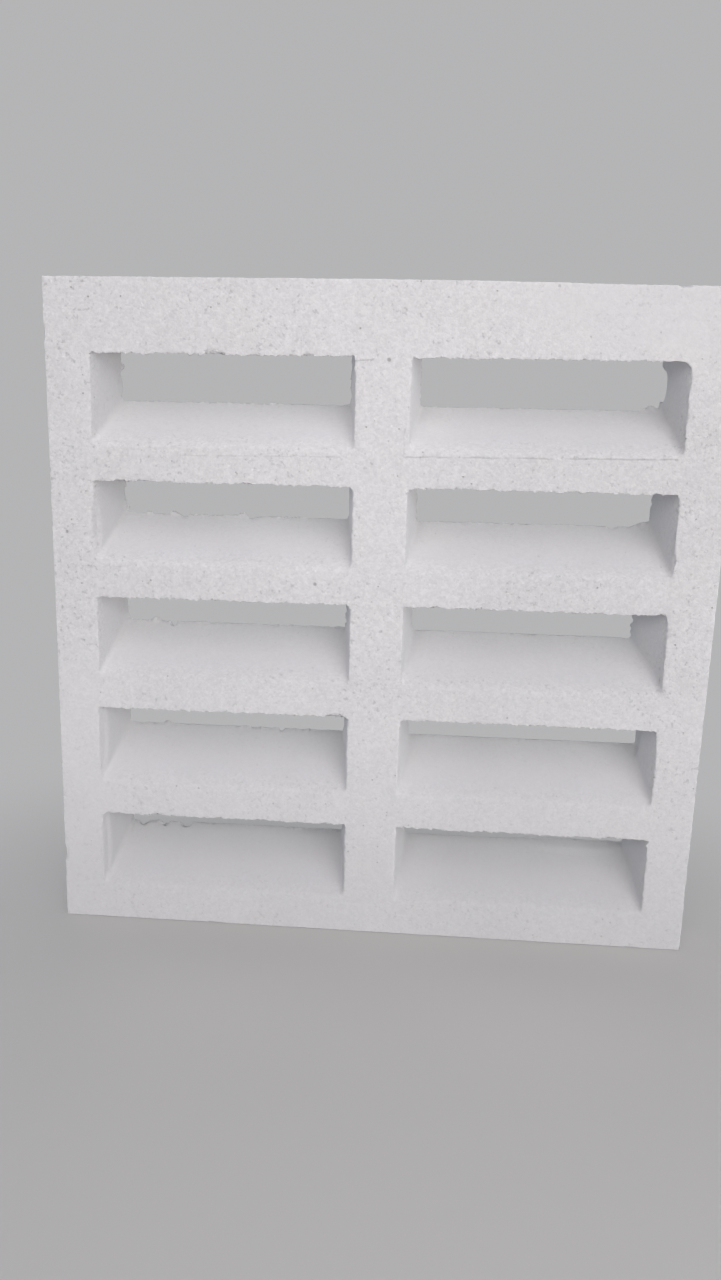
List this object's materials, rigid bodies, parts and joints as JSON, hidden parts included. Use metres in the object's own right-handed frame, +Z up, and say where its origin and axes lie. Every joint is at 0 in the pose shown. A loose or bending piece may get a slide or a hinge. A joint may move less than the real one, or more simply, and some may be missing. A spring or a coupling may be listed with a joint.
{
  "type": "concrete ventilation block",
  "caption": "Square precast concrete ventilation block with rows of horizontal slots whose sills slope down towards the front face.",
  "frame": {"origin": "middle of the bottom face, which the block stands on", "axes": "+Z up with the block standing as it is laid in a wall, +X along its width, +Y through it from the front (weather) face to the back"},
  "size_m": [0.5, 0.05, 0.5],
  "materials": {
    "concrete": "rough cast"
  },
  "bodies": {
    "root": {"vent_block": "concrete"}
  },
  "joints": []
}
